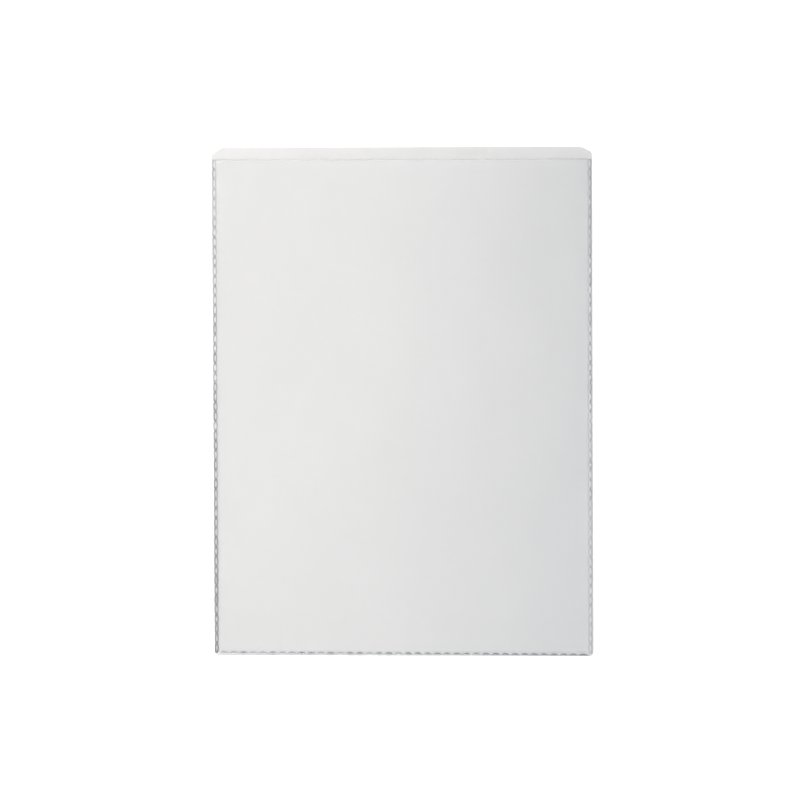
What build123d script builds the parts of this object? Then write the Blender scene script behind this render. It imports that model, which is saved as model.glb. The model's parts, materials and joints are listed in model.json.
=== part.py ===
from build123d import *
import os

# Open-top sheet protector: two clear vinyl films, welded along both sides and the bottom.
# It lies on its back. X runs across the pocket, Y up the sheet towards the mouth, and Z up.
# The origin is in the middle of the back face. All sizes are in millimetres.

# Films
film_thickness = 0.25
pocket_width = 228.6
front_height = 299.0
lip_height = 7.2
mouth_gape = 10.0
bottom_corner_radius = 2.5

# Lip: the back film above the mouth, with its corners cut off
corner_cut_width = 6.5
corner_cut_height = 4.2
corner_round = 2.5
flex_line_above_mouth = 1.0
flex_clearance = 0.05

# Welded edges: a band of the front film, pressed thin round a row of pointed oval pillows
weld_width = 3.0
pressed_thickness = 0.13
pillow_pitch = 5.76
pillow_length = 5.2
pillow_width = 2.0

# Places that follow from the sizes
right_edge = pocket_width / 2
bottom_edge = -(front_height + lip_height) / 2
mouth_edge = bottom_edge + front_height
top_edge = mouth_edge + lip_height
weld_right_inner = right_edge - weld_width
weld_bottom_inner = bottom_edge + weld_width
flex_line = mouth_edge + flex_line_above_mouth
back_film_end = flex_line - film_thickness / 2 - flex_clearance
front_film_bed = film_thickness
front_film_top = 2 * film_thickness


def back_film():
    """The back film from the rounded bottom corners to just below the line where its lip flexes."""
    height = back_film_end - bottom_edge
    sheet = Pos(0, bottom_edge + height / 2) * Rectangle(pocket_width, height)
    bottom_corners = sheet.vertices().group_by(Axis.Y)[0]
    return extrude(fillet(bottom_corners, bottom_corner_radius), film_thickness)


def lip_film():
    """The lip, with a half-round root about the flex line and its two top corners cut and rounded."""
    half = film_thickness / 2
    root = Pos(0, flex_line, half) * Rot(0, 90, 0) * Cylinder(half, pocket_width)
    right_cut = [(right_edge, top_edge - corner_cut_height), (right_edge - corner_cut_width, top_edge)]
    left_cut = [(-x, y) for x, y in reversed(right_cut)]
    strip = make_face(
        Polyline((-right_edge, flex_line), (right_edge, flex_line), *right_cut, *left_cut, close=True)
    )
    cut_ends = strip.vertices().filter_by(lambda corner: corner.Y > flex_line)
    return extrude(fillet(cut_ends, corner_round), film_thickness) + root


def film_section(y, gape):
    """A cut across the front film at y: level if gape is 0, and otherwise bowed up by it in the middle."""
    def edge_line(height):
        start = (-weld_right_inner, y, height)
        middle = (0, y, height + gape)
        end = (weld_right_inner, y, height)
        return ThreePointArc(start, middle, end) if gape else Line(start, end)

    under = edge_line(front_film_bed)
    over = edge_line(front_film_top)
    sides = [Line(under @ 0, over @ 0), Line(under @ 1, over @ 1)]
    return Face(Wire([under, over, *sides]))


def front_film():
    """The front film between the welds: flat along the bottom weld and bowed open at the mouth."""
    return loft([film_section(weld_bottom_inner, 0), film_section(mouth_edge, mouth_gape)], ruled=True)


def pillow():
    """One pillow between the die's lines: a pointed oval along X as thick as the film."""
    left = (-pillow_length / 2, 0)
    right = (pillow_length / 2, 0)
    crowns = [(0, pillow_width / 2), (0, -pillow_width / 2)]
    return extrude(make_face([ThreePointArc(left, crown, right) for crown in crowns]), film_thickness)


def pillow_chain(length):
    """Pillows in a row along X, tip to tip, as many as fit in length, centred on the origin."""
    links = int(length // pillow_pitch)
    return GridLocations(pillow_pitch, 0, links, 1) * pillow()


def side_weld(side):
    """The welded band up one side, from the rounded bottom corner to the mouth; side is -1 or 1."""
    middle = side * (right_edge - weld_width / 2)
    strip = Pos(middle, (bottom_edge + mouth_edge) / 2) * Rectangle(weld_width, front_height)
    corner = strip.vertices().sort_by_distance((side * right_edge, bottom_edge))[0]
    band = extrude(fillet(corner, bottom_corner_radius), pressed_thickness)
    up_the_side = Pos(middle, (weld_bottom_inner + mouth_edge) / 2) * Rot(0, 0, 90)
    chain = [up_the_side * link for link in pillow_chain(mouth_edge - weld_bottom_inner)]
    return Pos(0, 0, front_film_bed) * (band + chain)


def bottom_weld():
    """The welded band along the bottom edge, between the two side bands."""
    length = 2 * weld_right_inner
    along_the_bottom = Pos(0, bottom_edge + weld_width / 2)
    band = extrude(along_the_bottom * Rectangle(length, weld_width), pressed_thickness)
    chain = [along_the_bottom * link for link in pillow_chain(length)]
    return Pos(0, 0, front_film_bed) * (band + chain)


nodes = {
    "back_sheet": back_film(),
    "lip": lip_film(),
    "front_sheet": front_film(),
    "left_weld": side_weld(-1),
    "right_weld": side_weld(1),
    "bottom_weld": bottom_weld(),
}

os.makedirs("parts", exist_ok=True)
for name, solid in nodes.items():
    export_step(solid, f"parts/{name}.step")
    print(name, "volume", round(solid.volume, 1), "mm3")
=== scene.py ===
# %% [markdown]
# # A clear vinyl sheet protector
# Two sheets of clear film are welded along three edges, and the back one stands above the mouth as
# a lip. Clear film is hard to show: it has almost no colour, so the eye reads it by its edges, by
# the pressed weld and by soft reflections. This lesson builds the films as thin closed meshes over
# a fixed frame, which gives every piece its place in metres.

# %% Load the frame
import bpy
import json
import math
import numpy as np
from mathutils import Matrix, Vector


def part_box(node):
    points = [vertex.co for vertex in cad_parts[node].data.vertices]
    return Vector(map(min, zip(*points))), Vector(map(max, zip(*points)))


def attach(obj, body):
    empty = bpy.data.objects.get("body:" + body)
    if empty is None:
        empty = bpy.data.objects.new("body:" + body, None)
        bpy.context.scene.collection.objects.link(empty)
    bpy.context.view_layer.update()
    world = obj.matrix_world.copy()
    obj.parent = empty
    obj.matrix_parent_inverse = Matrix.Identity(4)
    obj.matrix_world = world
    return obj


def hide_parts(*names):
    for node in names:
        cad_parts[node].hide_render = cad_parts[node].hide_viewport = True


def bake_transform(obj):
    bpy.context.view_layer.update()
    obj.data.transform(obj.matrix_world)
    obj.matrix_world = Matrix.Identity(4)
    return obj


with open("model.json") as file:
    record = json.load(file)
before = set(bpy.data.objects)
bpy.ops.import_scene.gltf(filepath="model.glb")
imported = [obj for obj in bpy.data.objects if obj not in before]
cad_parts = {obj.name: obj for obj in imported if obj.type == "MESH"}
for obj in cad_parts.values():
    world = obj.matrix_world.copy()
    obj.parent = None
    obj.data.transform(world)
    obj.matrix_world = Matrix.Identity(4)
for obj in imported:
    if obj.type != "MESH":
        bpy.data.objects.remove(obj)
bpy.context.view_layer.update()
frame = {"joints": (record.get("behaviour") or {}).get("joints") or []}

# %% [markdown]
# ## Sizes
# The frame knows where each film begins and ends, so the places are read from it. Only what a box
# can't tell is written here: how the lip's corners are cut and how the weld's chain is laid out.
# The protector lies on its back, with X across it, Y up the sheet and Z up.

# %% Read the places of the films
MM = 0.001
sheet_low, sheet_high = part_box("back_sheet")
front_low, front_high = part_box("front_sheet")
film = sheet_high.z
half_width = sheet_high.x
bottom_y = sheet_low.y
mouth_y = front_high.y
top_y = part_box("lip")[1].y
inner_x = front_high.x
inner_y = front_low.y
gape = front_high.z - 2 * film
flex_y = frame["joints"][0]["pos_m"][1]

bottom_corner_radius = 2.5 * MM
left_corner_cut = (6.5 * MM, 4.2 * MM)
right_corner_cut = (7.0 * MM, 3.2 * MM)
corner_round = 2.5 * MM
weld_width = half_width - inner_x
link_pitch = 5.85 * MM
sheet_width, sheet_height = 2 * half_width, top_y - bottom_y
print(f"film {film / MM:.2f} mm, sheet {sheet_width / MM:.1f} by {sheet_height / MM:.1f} mm")

# %% [markdown]
# ## Camera
# The photograph looks almost straight at the front film, so the camera looks down from four metres
# through a long lens, which keeps the edges nearly parallel. They aren't quite parallel in the
# picture: the right side and the top are a hair larger. So the camera stands a few degrees off the
# upright, and its angles were found by laying the sheet's corners over those in the picture.

# %% Set the camera
picture_width = 480.8 * MM
camera_distance = 4.0
camera_tilt = math.radians(-3.43)
camera_turn = math.radians(4.05)
camera_roll = math.radians(-0.27)
aim = Vector((-1.41 * MM, 1.13 * MM, 0))

camera_data = bpy.data.cameras.new("camera")
camera_data.sensor_width = 36.0
camera_data.lens = camera_data.sensor_width * camera_distance / picture_width
camera = bpy.data.objects.new("camera", camera_data)
bpy.context.collection.objects.link(camera)
camera.rotation_euler = (camera_tilt, camera_turn, camera_roll)
camera.location = aim + camera.rotation_euler.to_matrix() @ Vector((0, 0, camera_distance))
bpy.context.scene.camera = camera
print(f"lens {camera_data.lens:.0f} mm")

# %% [markdown]
# ## Floor and lamps
# The photograph has a pure white ground, and the film shows as a pale grey on it that falls from
# the left to the right. A long warm softbox close above the left part of the sheet gives that fall.
# It is hidden from mirrors, as a polarising filter on the lens would do, or else the film would
# show it as a white bar. The other lamps hardly light the sheet: the film mirrors them, by the left
# weld and as long pale streaks from a low eye point, and so glossy film is told from paper.

# %% Make the floor
def add_floor(size, height):
    """A white, quite matt table."""
    mesh = bpy.data.meshes.new("floor")
    half = size / 2
    corners = [(-half, -half), (half, -half), (half, half), (-half, half)]
    mesh.from_pydata([(x, y, height) for x, y in corners], [], [(0, 1, 2, 3)])
    floor = bpy.data.objects.new("floor", mesh)
    bpy.context.collection.objects.link(floor)
    material = bpy.data.materials.new("white_table")
    material.use_nodes = True
    surface = material.node_tree.nodes["Principled BSDF"]
    surface.inputs["Base Color"].default_value = (0.92, 0.92, 0.92, 1)
    surface.inputs["Roughness"].default_value = 0.9
    surface.inputs["Specular IOR Level"].default_value = 0.0
    mesh.materials.append(material)
    print("floor", size, "m wide")


add_floor(size=16.0, height=-0.4 * MM)

# %% Make the lamps
def add_softbox(name, place, width, height, power, colour, aim=(0, 0, 0), mirrored=True):
    """A flat lamp of a width and a height that faces aim, and that the film mirrors or not."""
    lamp = bpy.data.lights.new(name, "AREA")
    lamp.shape = "RECTANGLE"
    lamp.size = width
    lamp.size_y = height
    lamp.energy = power
    lamp.color = colour
    softbox = bpy.data.objects.new(name, lamp)
    bpy.context.collection.objects.link(softbox)
    softbox.location = place
    softbox.rotation_euler = (Vector(aim) - Vector(place)).to_track_quat("-Z", "Y").to_euler()
    softbox.visible_glossy = mirrored
    softbox.visible_camera = False


add_softbox(
    "key_light", (-0.08, 0.15, 0.30), width=0.15, height=1.0, power=1.46,
    colour=(1.0, 0.94, 0.81), aim=(-0.08, 0.15, 0), mirrored=False,
)
add_softbox(
    "side_light", (-0.58, 0.10, 0.50), width=0.4, height=0.4, power=1.6, colour=(1.0, 0.98, 0.95)
)
add_softbox(
    "left_strip", (-1.9, 1.9, 1.3), width=0.25, height=1.5, power=0.5, colour=(1.0, 0.99, 0.97)
)
add_softbox(
    "right_strip", (2.0, -2.0, 0.85), width=0.25, height=1.2, power=0.3, colour=(0.97, 0.985, 1.0)
)

# %% [markdown]
# ## Sky
# Most of the light comes from all round. The sky is a little cool, brighter overhead, as under a
# large diffuser, and a little dimmer along the horizon, which low film mirrors as grey. It mirrors
# the bright part too, which makes up for what the film takes away from the floor's light.

# %% Make the sky
def math_node(tree, operation, *values):
    """A Math node whose inputs are numbers or the outputs of other nodes."""
    node = tree.nodes.new("ShaderNodeMath")
    node.operation = operation
    for socket, value in zip(node.inputs, values):
        if isinstance(value, (int, float)):
            socket.default_value = value
        else:
            tree.links.new(value, socket)
    return node.outputs[0]


glow_tightness = 8.0
rim_tightness = 6.0


def add_sky(colour, even, overhead, overhead_way, horizon):
    """A sky of an even strength, with other strengths overhead and at the horizon."""
    world = bpy.data.worlds.new("studio")
    world.use_nodes = True
    tree = world.node_tree
    place = tree.nodes.new("ShaderNodeTexCoord").outputs["Generated"]
    towards = tree.nodes.new("ShaderNodeVectorMath")
    towards.operation = "DOT_PRODUCT"
    towards.inputs[1].default_value = Vector(overhead_way).normalized()
    tree.links.new(place, towards.inputs[0])
    height = tree.nodes.new("ShaderNodeSeparateXYZ")
    tree.links.new(place, height.inputs[0])
    near_overhead = math_node(tree, "MAXIMUM", towards.outputs["Value"], 0.0)
    glow = math_node(tree, "POWER", near_overhead, glow_tightness)
    low = math_node(tree, "SUBTRACT", 1.0, math_node(tree, "MAXIMUM", height.outputs["Z"], 0.0))
    rim = math_node(tree, "POWER", low, rim_tightness)
    strength = math_node(tree, "MULTIPLY_ADD", glow, overhead - even, even)
    strength = math_node(tree, "MULTIPLY_ADD", rim, horizon - even, strength)
    background = tree.nodes["Background"]
    background.inputs["Color"].default_value = (*colour, 1)
    tree.links.new(strength, background.inputs["Strength"])
    bpy.context.scene.world = world


add_sky(
    colour=(0.92, 0.943, 1.0), even=0.83, overhead=1.63, overhead_way=(-0.12, 0.03, 1.0),
    horizon=0.74,
)
bpy.context.scene.view_settings.view_transform = "Standard"
print("sky", bpy.context.scene.world.name)

# %% [markdown]
# ## The vinyl
# Clear vinyl could be made with a glass shader, but light bent through a film thinner than a
# fingernail only adds grain to the picture. Here a ray goes straight through and loses a little to
# the film's own grey. A mirror layer, weak face on and strong at a slant, gives the gloss, and a
# thin veil of pale haze gives the film a body. Rolling leaves faint streaks up the sheet, handling
# leaves hairline scuffs, and both change the gloss and the haze a little.

# %% Write two helpers for finishes
def stretched_noise(tree, stretch, detail):
    """Noise over the object's own coordinates, each axis scaled by stretch, in cycles per metre."""
    nodes, links = tree.nodes, tree.links
    place = nodes.new("ShaderNodeTexCoord")
    mapping = nodes.new("ShaderNodeMapping")
    mapping.inputs["Scale"].default_value = stretch
    noise = nodes.new("ShaderNodeTexNoise")
    noise.inputs["Scale"].default_value = 1.0
    noise.inputs["Detail"].default_value = detail
    links.new(place.outputs["Object"], mapping.inputs["Vector"])
    links.new(mapping.outputs["Vector"], noise.inputs["Vector"])
    return noise.outputs["Fac"]


def spread(tree, source, low, high, to_low, to_high):
    """Maps source from low..high to to_low..to_high."""
    node = tree.nodes.new("ShaderNodeMapRange")
    node.inputs["From Min"].default_value = low
    node.inputs["From Max"].default_value = high
    node.inputs["To Min"].default_value = to_low
    node.inputs["To Max"].default_value = to_high
    tree.links.new(source, node.inputs["Value"])
    return node.outputs["Result"]

# %% Write the vinyl finish
noise_middle = (0.3, 0.7)
noise_peaks = (0.66, 0.78)
streak_stretch = (420, 16, 420)
cloud_stretch = (14, 9, 14)
scuff_stretch = (60, 900, 60)
streak_strength = 0.06
streak_depth = 0.2 * MM
face_on_mirror = 0.04
slant_power = 5.0


def clear_vinyl(name, tint, haze, haze_colour, roughness):
    """Film that a ray crosses unbent: one face lets tint through, and haze is the share veiled."""
    material = bpy.data.materials.new(name)
    material.use_nodes = True
    tree = material.node_tree
    nodes, links = tree.nodes, tree.links
    nodes.clear()
    streaks = stretched_noise(tree, streak_stretch, detail=3.0)
    clouds = stretched_noise(tree, cloud_stretch, detail=2.0)
    scuffs = stretched_noise(tree, scuff_stretch, detail=5.0)

    facing = nodes.new("ShaderNodeLayerWeight")
    facing.inputs["Blend"].default_value = 0.5
    slant = math_node(tree, "POWER", facing.outputs["Facing"], slant_power)
    mirror_share = spread(tree, slant, 0, 1, face_on_mirror, 1.0)

    through = nodes.new("ShaderNodeBsdfTransparent")
    through.inputs["Color"].default_value = (*tint, 1)
    gloss = nodes.new("ShaderNodeBsdfGlossy")
    gloss.inputs["Color"].default_value = (1, 1, 1, 1)
    streaky = spread(tree, streaks, *noise_middle, 0.8 * roughness, 1.2 * roughness)
    links.new(streaky, gloss.inputs["Roughness"])
    bump = nodes.new("ShaderNodeBump")
    bump.inputs["Strength"].default_value = streak_strength
    bump.inputs["Distance"].default_value = streak_depth
    links.new(streaks, bump.inputs["Height"])
    links.new(bump.outputs["Normal"], gloss.inputs["Normal"])
    clear = nodes.new("ShaderNodeMixShader")
    links.new(mirror_share, clear.inputs[0])
    links.new(through.outputs[0], clear.inputs[1])
    links.new(gloss.outputs[0], clear.inputs[2])

    veil = nodes.new("ShaderNodeBsdfDiffuse")
    veil.inputs["Color"].default_value = (*haze_colour, 1)
    cloudy = spread(tree, clouds, *noise_middle, 0.92 * haze, 1.08 * haze)
    scuffed = spread(tree, scuffs, *noise_peaks, 0.0, haze)
    film_surface = nodes.new("ShaderNodeMixShader")
    links.new(math_node(tree, "ADD", cloudy, scuffed), film_surface.inputs[0])
    links.new(clear.outputs[0], film_surface.inputs[1])
    links.new(veil.outputs[0], film_surface.inputs[2])
    output = nodes.new("ShaderNodeOutputMaterial")
    links.new(film_surface.outputs[0], output.inputs["Surface"])
    return material

# %% [markdown]
# ## Three finishes for the films
# Two films of one roll would be equally clear. In the photograph the lip, where the back film lies
# alone, is almost as grey as the pocket, so the back film gets most of the grey. A thin band along
# each cut edge is painted a darker grey, as painted shade for the shadow and the bent light at the
# edge, and reads as a thin grey line. From the eye to the floor and on to a lamp, a ray crosses
# eight faces of film. Blender lets no more than eight through, and the film would turn dark where
# two lie together, so the limit is raised.

# %% Mix the finishes of the films
bpy.context.scene.cycles.transparent_max_bounces = 32
front_vinyl = clear_vinyl(
    "front_vinyl", (0.981, 0.981, 0.981), haze=0.005, haze_colour=(0.85, 0.85, 0.86), roughness=0.16
)
back_vinyl = clear_vinyl(
    "back_vinyl", (0.887, 0.887, 0.887), haze=0.10, haze_colour=(0.50, 0.505, 0.51), roughness=0.16
)
# The edge finish is painted shade: a darker grey for the shadow and bent light along a cut edge.
cut_edge_shade = clear_vinyl(
    "cut_edge_shade", (0.80, 0.805, 0.81), haze=0.20, haze_colour=(0.50, 0.52, 0.54), roughness=0.25
)
print("finishes", [m.name for m in (front_vinyl, back_vinyl, cut_edge_shade)])

# %% [markdown]
# ## The weld's finish
# A hot die presses the two films into one along its lines. The pressed grooves bend light away, and
# that darkness is painted: each line is tinted grey as painted shade, and the pillows between them
# stay clearer. The painted shade comes in four strengths, from faint lines to dark ones. Lines and
# pillows are finishes of their own, because a painted pattern this fine would blur when the model
# is exported.

# %% Write the weld's finishes
pillow_vinyl = clear_vinyl(
    "pillow_vinyl", (0.972, 0.974, 0.976), haze=0.05, haze_colour=(0.80, 0.81, 0.82), roughness=0.14
)
# The line finishes are grey tints, painted shade for the light that the pressed grooves bend away.
darkest_line_shade = clear_vinyl(
    "darkest_line_shade", (0.41, 0.415, 0.42), haze=0.31, haze_colour=(0.32, 0.33, 0.34), roughness=0.22
)
dark_line_shade = clear_vinyl(
    "dark_line_shade", (0.66, 0.665, 0.67), haze=0.22, haze_colour=(0.42, 0.43, 0.44), roughness=0.22
)
mid_line_shade = clear_vinyl(
    "mid_line_shade", (0.79, 0.793, 0.796), haze=0.15, haze_colour=(0.46, 0.465, 0.47), roughness=0.21
)
light_line_shade = clear_vinyl(
    "light_line_shade", (0.89, 0.892, 0.895), haze=0.09, haze_colour=(0.50, 0.505, 0.51), roughness=0.20
)
weld_finishes = [pillow_vinyl, light_line_shade, mid_line_shade, dark_line_shade, darkest_line_shade, cut_edge_shade]
darkest_shade = weld_finishes.index(darkest_line_shade)
print("finishes", [m.name for m in weld_finishes])

# %% [markdown]
# ## A film from two grids
# Each film could be a plane with a Solidify modifier. A grid of points for its top and another for
# its underside say the same thing, and they let each row have its own width, so rounded and cut
# corners come out of the grid itself. The rim that joins the two grids is the cut edge.

# %% Write the film builder
sharp_angle = math.radians(40)


def film_from_grids(name, over, under, cell_finish, finishes, rim_finish):
    """A closed mesh between two grids of points, which are shaped rows by columns by 3.

    cell_finish numbers the finish of each cell on top, and rim_finish that of the rim, or of each
    of its faces. The underside has the first finish.
    """
    rows, columns, _ = over.shape
    count = rows * columns
    index = np.arange(count).reshape(rows, columns)
    cells = np.stack([index[:-1, :-1], index[:-1, 1:], index[1:, 1:], index[1:, :-1]], axis=-1)
    cells = cells.reshape(-1, 4)
    ring = np.concatenate([index[0, :-1], index[:-1, -1], index[-1, :0:-1], index[:0:-1, 0]])
    ahead = np.roll(ring, -1)
    rim = np.stack([ring, ring + count, ahead + count, ahead], axis=-1)
    faces = np.concatenate([cells, cells[:, ::-1] + count, rim])
    points = np.concatenate([over.reshape(-1, 3), under.reshape(-1, 3)])
    mesh = bpy.data.meshes.new(name)
    mesh.from_pydata(points.tolist(), [], faces.tolist())
    for finish in finishes:
        mesh.materials.append(finish)
    underside = np.zeros(len(cells), int)
    used = np.concatenate([cell_finish.reshape(-1), underside, np.full(len(rim), rim_finish)])
    mesh.polygons.foreach_set("material_index", used.astype(np.int32))
    mesh.shade_smooth()
    mesh.set_sharp_from_angle(angle=sharp_angle)
    piece = bpy.data.objects.new(name, mesh)
    bpy.context.collection.objects.link(piece)
    print(name, len(mesh.vertices), "points", len(mesh.polygons), "faces")
    return piece


def with_edge_bands(values, band):
    """Adds a value one band in from each end, so that a cut edge has cells of its own."""
    return np.unique(np.concatenate([values, [values[0] + band, values[-1] - band]]))

# %% [markdown]
# ## Back film and lip
# The back film is one sheet with two rounded corners below and two cut corners above. The lip is
# only the part of it above the mouth, so film and lip are one mesh, parted only by the flex line.
# Each half of the outline is traced from the bottom to the top, with an arc at each corner, and
# every row of the grid takes its width from it. The right corner is cut shallower than the left
# one, as the knife happened to fall. Rows crowd together where the lip bends.

# %% Trace the outline
def rounded_corner(before, corner, after, radius, steps=8):
    """Points along the arc that rounds a corner between two straight edges."""
    before, corner, after = (np.array(p, float) for p in (before, corner, after))
    towards_before = (before - corner) / np.linalg.norm(before - corner)
    towards_after = (after - corner) / np.linalg.norm(after - corner)
    half_angle = math.acos(towards_before @ towards_after) / 2
    start = corner + towards_before * radius / math.tan(half_angle)
    end = corner + towards_after * radius / math.tan(half_angle)
    middle_way = (towards_before + towards_after) / np.linalg.norm(towards_before + towards_after)
    centre = corner + middle_way * radius / math.sin(half_angle)
    turn = math.pi - 2 * half_angle
    share = np.linspace(0, 1, steps + 1)[:, None]
    arc = np.sin((1 - share) * turn) * (start - centre) + np.sin(share * turn) * (end - centre)
    return centre + arc / math.sin(turn)


def half_outline(corner_cut):
    """Half of the sheet's outline, whose top corner is cut off over a width and a height."""
    cut_width, cut_height = corner_cut
    bottom_middle, bottom_corner, top_middle = (0, bottom_y), (half_width, bottom_y), (0, top_y)
    cut_start, cut_end = (half_width, top_y - cut_height), (half_width - cut_width, top_y)
    return np.concatenate([
        rounded_corner(bottom_middle, bottom_corner, cut_start, bottom_corner_radius),
        rounded_corner(bottom_corner, cut_start, cut_end, corner_round),
        rounded_corner(cut_start, cut_end, top_middle, corner_round),
    ])


def width_at(y, outline):
    return np.interp(y, outline[:, 1], outline[:, 0])


left_outline, right_outline = half_outline(left_corner_cut), half_outline(right_corner_cut)
lip_width = width_at(top_y, left_outline) + width_at(top_y, right_outline)
print("outline points", len(left_outline) + len(right_outline))
print(f"lip width at the top {lip_width / MM:.1f} mm")

# %% Make the back film
edge_band = 0.45 * MM
bend_length = 2.5 * MM
back_row_count, bend_row_count, back_column_count = 60, 11, 41
back_rows = np.concatenate([
    left_outline[:, 1], right_outline[:, 1],
    np.linspace(bottom_y + bottom_corner_radius, flex_y, back_row_count),
    np.linspace(flex_y, flex_y + bend_length, bend_row_count),
])
back_rows = with_edge_bands(np.unique(back_rows.round(7)), edge_band)
back_columns = with_edge_bands(np.linspace(-1, 1, back_column_count), edge_band / half_width)
left_width, right_width = width_at(back_rows, left_outline), width_at(back_rows, right_outline)
back_x = np.where(back_columns < 0, left_width[:, None], right_width[:, None]) * back_columns
back_y = np.broadcast_to(back_rows[:, None], back_x.shape)
back_over = np.stack([back_x, back_y, np.full_like(back_x, film)], axis=-1)
back_under = back_over - np.array([0, 0, film])
# The outermost cells take the edge finish, painted shade along the cut edge.
back_edge = np.zeros((len(back_rows) - 1, len(back_columns) - 1), int)
back_edge[:, [0, -1]] = 1
back_edge[[0, -1], :] = 1
back_finishes = [back_vinyl, cut_edge_shade]
back_film = film_from_grids("back_film", back_over, back_under, back_edge, back_finishes, 1)

# %% [markdown]
# ## Front film
# The front film is held on three sides and free at the mouth, so it stands off the back film in a
# shallow bow: flat along the bottom weld, highest in the middle of the mouth. Every row is an arc
# whose rise grows steadily towards the mouth, which film can do with hardly any stretch. A long
# slow ripple runs up it at a slant, as it does in sheets that were stored in a pile, and the heat
# of the weld leaves small puckers beside it. A cloth simulation could settle such a film, but it
# would start from the same three welded edges, and plain arcs keep it where the frame has it.

# %% Write the bow and the puckers
seat_gap = 0.02 * MM
ripple_height = 0.3 * MM
ripple_length = 120 * MM
ripple_slant = 0.25
pucker_height = 0.06 * MM
pucker_length = 14 * MM
unevenness_length = 3.7 * pucker_length
pucker_reach = 4 * MM


def bow_height(x, share):
    """Height of the bowed front film over its bed, where share runs from 0 at the bottom to 1."""
    arc_radius = (inner_x**2 + gape**2) / (2 * gape)
    return share * (np.sqrt(arc_radius**2 - x**2) - (arc_radius - gape))


def puckers(from_weld, along):
    """Ripples beside a weld: none at its edge, most a few millimetres in, gone soon after."""
    reach = from_weld / pucker_reach
    unevenness = np.sin(2 * math.pi * along / unevenness_length)
    wave = np.sin(2 * math.pi * along / pucker_length + unevenness)
    return pucker_height * reach * np.exp(1 - reach) * wave


print(f"the middle of the mouth rises {bow_height(0, 1) / MM:.1f} mm")

# %% Make the front film
front_row_count, front_column_count = 181, 97
front_rows = with_edge_bands(np.linspace(inner_y, mouth_y, front_row_count), edge_band)
front_columns = np.linspace(-inner_x, inner_x, front_column_count)
front_x, front_y = np.meshgrid(front_columns, front_rows)
rise = (front_y - inner_y) / (mouth_y - inner_y)
from_sides = 1 - (front_x / inner_x) ** 2
ripple_phase = 2 * math.pi * (front_x - ripple_slant * front_y) / ripple_length
ripple = ripple_height * from_sides**2 * rise * np.sin(ripple_phase)
beside_sides = puckers(inner_x - np.abs(front_x), front_y) * np.sqrt(rise)
beside_bottom = puckers(front_y - inner_y, front_x) * from_sides
front_z = film + seat_gap + bow_height(front_x, rise) + ripple + beside_sides + beside_bottom
front_z = np.maximum(front_z, film + seat_gap)
front_under = np.stack([front_x, front_y, front_z], axis=-1)
front_over = front_under + np.array([0, 0, film])
# The row at the mouth takes the edge finish, painted shade along the cut edge.
front_edge = np.zeros((len(front_rows) - 1, len(front_columns) - 1), int)
front_edge[-1, :] = 1
welded_row, welded_side = np.zeros(len(front_columns) - 1), np.zeros(len(front_rows) - 1)
front_rim = np.concatenate([welded_row, welded_side, np.ones(len(front_columns) - 1), welded_side])
front_finishes = [front_vinyl, cut_edge_shade]
front_film = film_from_grids(
    "front_film", front_over, front_under, front_edge, front_finishes, front_rim
)
print(f"top of the mouth {front_over[-1, :, 2].max() / MM:.2f} mm above the back")

# %% [markdown]
# ## Chain weld
# The die's lines are two waves that cross at every neck, so the weld looks like a chain of pointed
# links. A bump map could fake it, but the groove is half a millimetre wide and shows in the
# outline of every edge, so it is modelled. Each row of the grid crosses the band. Its columns sit
# on the groove's two rims and on its floor, and slide in and out with the wave, so the pressed
# lines have cells of their own.

# %% Lay out the chain
neck_offset = 0.05 * MM
wave_fullness = 0.8
rows_per_link = 14


def chain_places(length, chain_start):
    """Places along a weld, and how far along the chain each one is, in links."""
    links = round((length - chain_start) / link_pitch)
    chain = np.linspace(chain_start, length, links * rows_per_link + 1)
    along = np.unique(np.concatenate([[0, chain_start, length - edge_band], chain]).round(8))
    return along, np.clip((along - chain_start) / (length - chain_start), 0, 1) * links


def link_wave(in_links):
    """How wide the chain is: 0 at a neck and 1 in the middle of a link."""
    return np.abs(np.sin(math.pi * in_links)) ** wave_fullness


side_length = mouth_y - bottom_y
chain_foot = 1.5 * MM
side_along, side_in_links = chain_places(side_length, chain_foot)
side_has_chain = side_along >= chain_foot
low_along, low_in_links = chain_places(2 * inner_x, 0)
low_has_chain = np.full(len(low_along), True)
print("links up a side", round(side_in_links[-1]), "and along the bottom", round(low_in_links[-1]))

# %% [markdown]
# The protector is cut out after it is welded, never quite square to the die. So the chain leans a
# little against the edges, a fraction of a degree. Along the bottom the cut runs through the links
# and leaves a row of arches. The grid keeps all of its columns there, and those beyond the cut are
# squeezed into slivers at the edge.

# %% Press the chain into a band of film
side_die = {"line_offset": 1.0 * MM, "groove_at_arc": 0.30 * MM}
low_die = {"line_offset": 1.2 * MM, "groove_at_arc": 0.42 * MM}
groove_at_neck = 0.50 * MM
least_pillow = 0.4 * neck_offset
margin_height = 0.17 * MM
groove_height = 0.08 * MM
pillow_shoulder = 0.5
pillow_crown = 0.9
sliver = 0.01 * MM


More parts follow.
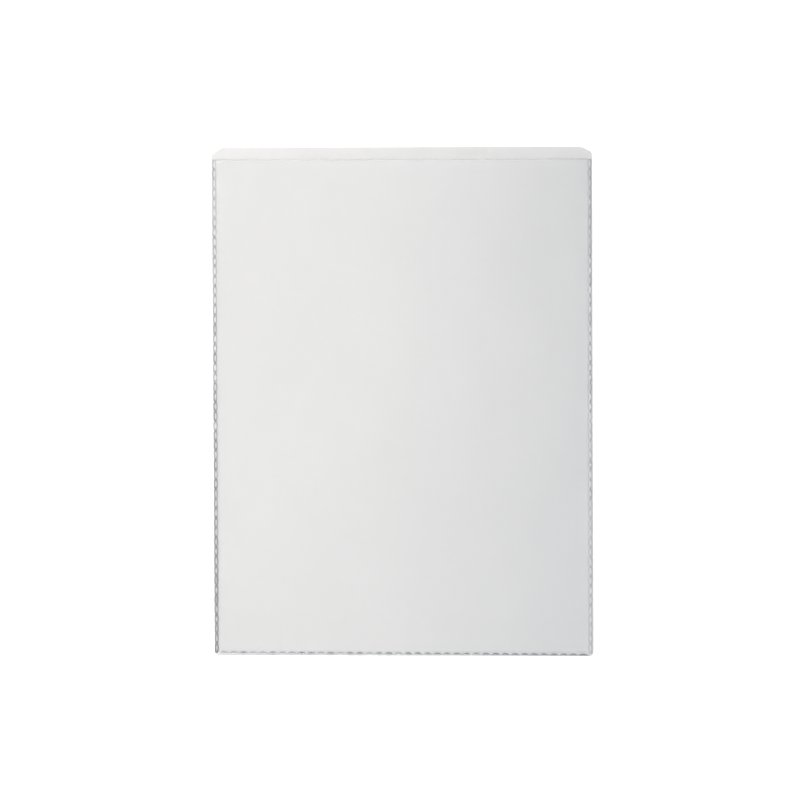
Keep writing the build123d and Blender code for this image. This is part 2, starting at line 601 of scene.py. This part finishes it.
def chain_weld(in_links, has_chain, from_edge, line_offset, groove_at_arc):
    """The across-places and heights of a weld's top, as the cut leaves them, in rows along it."""
    wave = link_wave(in_links)
    line = neck_offset + (line_offset - neck_offset) * wave
    groove = groove_at_arc + (groove_at_neck - groove_at_arc) * (1 - wave)
    pillow = np.maximum(line - groove, least_pillow)
    rim = line + groove
    middle = weld_width - from_edge
    outside = np.maximum(weld_width, middle + rim + sliver)
    across = np.stack([
        0 * line, middle - rim, middle - line, middle - pillow, middle - pillow / 2, middle,
        middle + pillow / 2, middle + pillow, middle + line, middle + rim, outside,
    ], axis=1)
    swell = (film - margin_height) * has_chain * pillow / pillow.max()
    margin = 0 * line + margin_height
    floor = margin - has_chain * (margin_height - groove_height)
    shoulder, crown = margin + pillow_shoulder * swell, margin + pillow_crown * swell
    height = np.stack([
        0 * line + film, margin, floor, shoulder, crown, margin + swell,
        crown, shoulder, floor, margin, margin,
    ], axis=1)
    slivers = sliver * np.arange(across.shape[1])
    cut = np.clip(across, slivers, weld_width - slivers[::-1])
    return cut, np.array([np.interp(*row) for row in zip(cut, across, height)])


print(f"grooves {groove_height / MM:.2f} mm and margins {margin_height / MM:.2f} mm thick")

# %% Lean the three chains and press them
side_lean_angle = math.radians(0.06)
low_lean_angle = math.radians(0.27)
side_lean = math.tan(side_lean_angle) * (side_along - side_length / 2)
low_lean = math.tan(low_lean_angle) * (low_along - inner_x)
right_from_edge = 1.45 * MM - side_lean
left_from_edge = 1.52 * MM + side_lean
low_from_edge = 0.42 * MM - low_lean
right_across, right_height = chain_weld(side_in_links, side_has_chain, right_from_edge, **side_die)
left_across, left_height = chain_weld(side_in_links, side_has_chain, left_from_edge, **side_die)
low_across, low_height = chain_weld(low_in_links, low_has_chain, low_from_edge, **low_die)
print(f"the chain leans {2 * side_lean[-1] / MM:.2f} mm up a side")
print(f"and {2 * low_lean[-1] / MM:.2f} mm along the bottom")

# %% [markdown]
# Now the strengths of the painted shade. The lines are painted darkest at the foot of the left weld
# and lightest along the right one, and the shade differs from link to link. On the sides the necks
# are painted darkest, where the two lines meet, and along the bottom the crowns of the arches are.
# Where a line is painted dark, the pillows beside it are painted grey too, like a fainter line.

# %% Choose the painted shade of every line
link_spread = 0.4
clear = -math.inf
dice = np.random.default_rng(7)


def shade_levels(in_links, has_chain, at_start, at_end, faintest, inner, pillow, outer, neck):
    """The level of painted shade in each cell: it goes from at_start to at_end along the weld, and
    is changed by so much on the inner arcs, the pillows and the outer arcs, and at the necks. Lines
    are never weaker than faintest."""
    links = round(in_links[-1])
    darkness = np.linspace(at_start, at_end, links) + dice.uniform(-link_spread, link_spread, links)
    between = (in_links[1:] + in_links[:-1]) / 2
    darkness = darkness[np.minimum(between.astype(int), links - 1)] + neck * (1 - link_wave(between))
    change = np.array([clear, inner, inner, pillow, pillow, pillow, pillow, outer, outer, clear])
    least = np.array([0, faintest, faintest, 0, 0, 0, 0, faintest, faintest, 0])
    strength = np.clip(np.rint(darkness[:, None] + change), least, darkest_shade)
    return np.where(has_chain[:-1, None], strength, 0).astype(int)


# Each weld's lines get their levels of painted shade.
right_finish = shade_levels(
    side_in_links, side_has_chain, at_start=1.4, at_end=2.7,
    faintest=1, inner=-1.4, pillow=-1.8, outer=0.2, neck=0.8,
)
left_finish = shade_levels(
    side_in_links, side_has_chain, at_start=4.2, at_end=2.2,
    faintest=1, inner=-0.4, pillow=-2.6, outer=0, neck=0.8,
)
low_finish = shade_levels(
    low_in_links, low_has_chain, at_start=3.3, at_end=4.3,
    faintest=0, inner=0, pillow=-2.9, outer=-2, neck=-3.2,
)
# The top row of each side weld, at the mouth, takes the edge finish, painted shade along the cut
# edge.
right_finish[-1, :] = left_finish[-1, :] = weld_finishes.index(cut_edge_shade)
print("deep cells", [int((f == darkest_shade).sum()) for f in (right_finish, left_finish, low_finish)])

# %% [markdown]
# The chain was laid out along a straight band. Now each band gets its place: up the right side, up
# the left side as a mirror image, and along the bottom. Near the rounded corners the side bands
# are narrower, so their columns are drawn together.

# %% Make the three welds
def weld_piece(name, x, y, height, finish):
    """One welded band, which sits on the back film."""
    bed = film + seat_gap
    over = np.stack([x, y, bed + height], axis=-1)
    under = np.stack([x, y, np.full_like(x, bed)], axis=-1)
    return film_from_grids(name, over, under, finish, weld_finishes, 0)


side_y = np.broadcast_to((bottom_y + side_along)[:, None], right_across.shape)
room = ((width_at(bottom_y + side_along, left_outline) - inner_x) / weld_width)[:, None]
right_x = inner_x + right_across * room
right_weld = weld_piece("right_chain", right_x, side_y, right_height, right_finish)
left_x = -(inner_x + left_across * room)[:, ::-1]
left_weld = weld_piece("left_chain", left_x, side_y, left_height[:, ::-1], left_finish[:, ::-1])
low_x = np.broadcast_to((low_along - inner_x)[:, None], low_across.shape)
bottom_weld = weld_piece("bottom_chain", low_x, inner_y - low_across, low_height, low_finish)

# %% [markdown]
# ## Joining the pieces to the frame
# The front film and the welds move with the pocket, a body of the frame. The back film, which holds
# the lip, keeps its place and is joined to no body.

# %% Hang the pieces on the frame
for piece, node in (
    (front_film, "front_sheet"),
    (left_weld, "left_weld"),
    (right_weld, "right_weld"),
    (bottom_weld, "bottom_weld"),
):
    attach(piece, "pocket")
    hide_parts(node)

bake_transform(back_film)
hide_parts("back_sheet", "lip")
print("pieces", [p.name for p in (back_film, front_film, left_weld, right_weld, bottom_weld)])
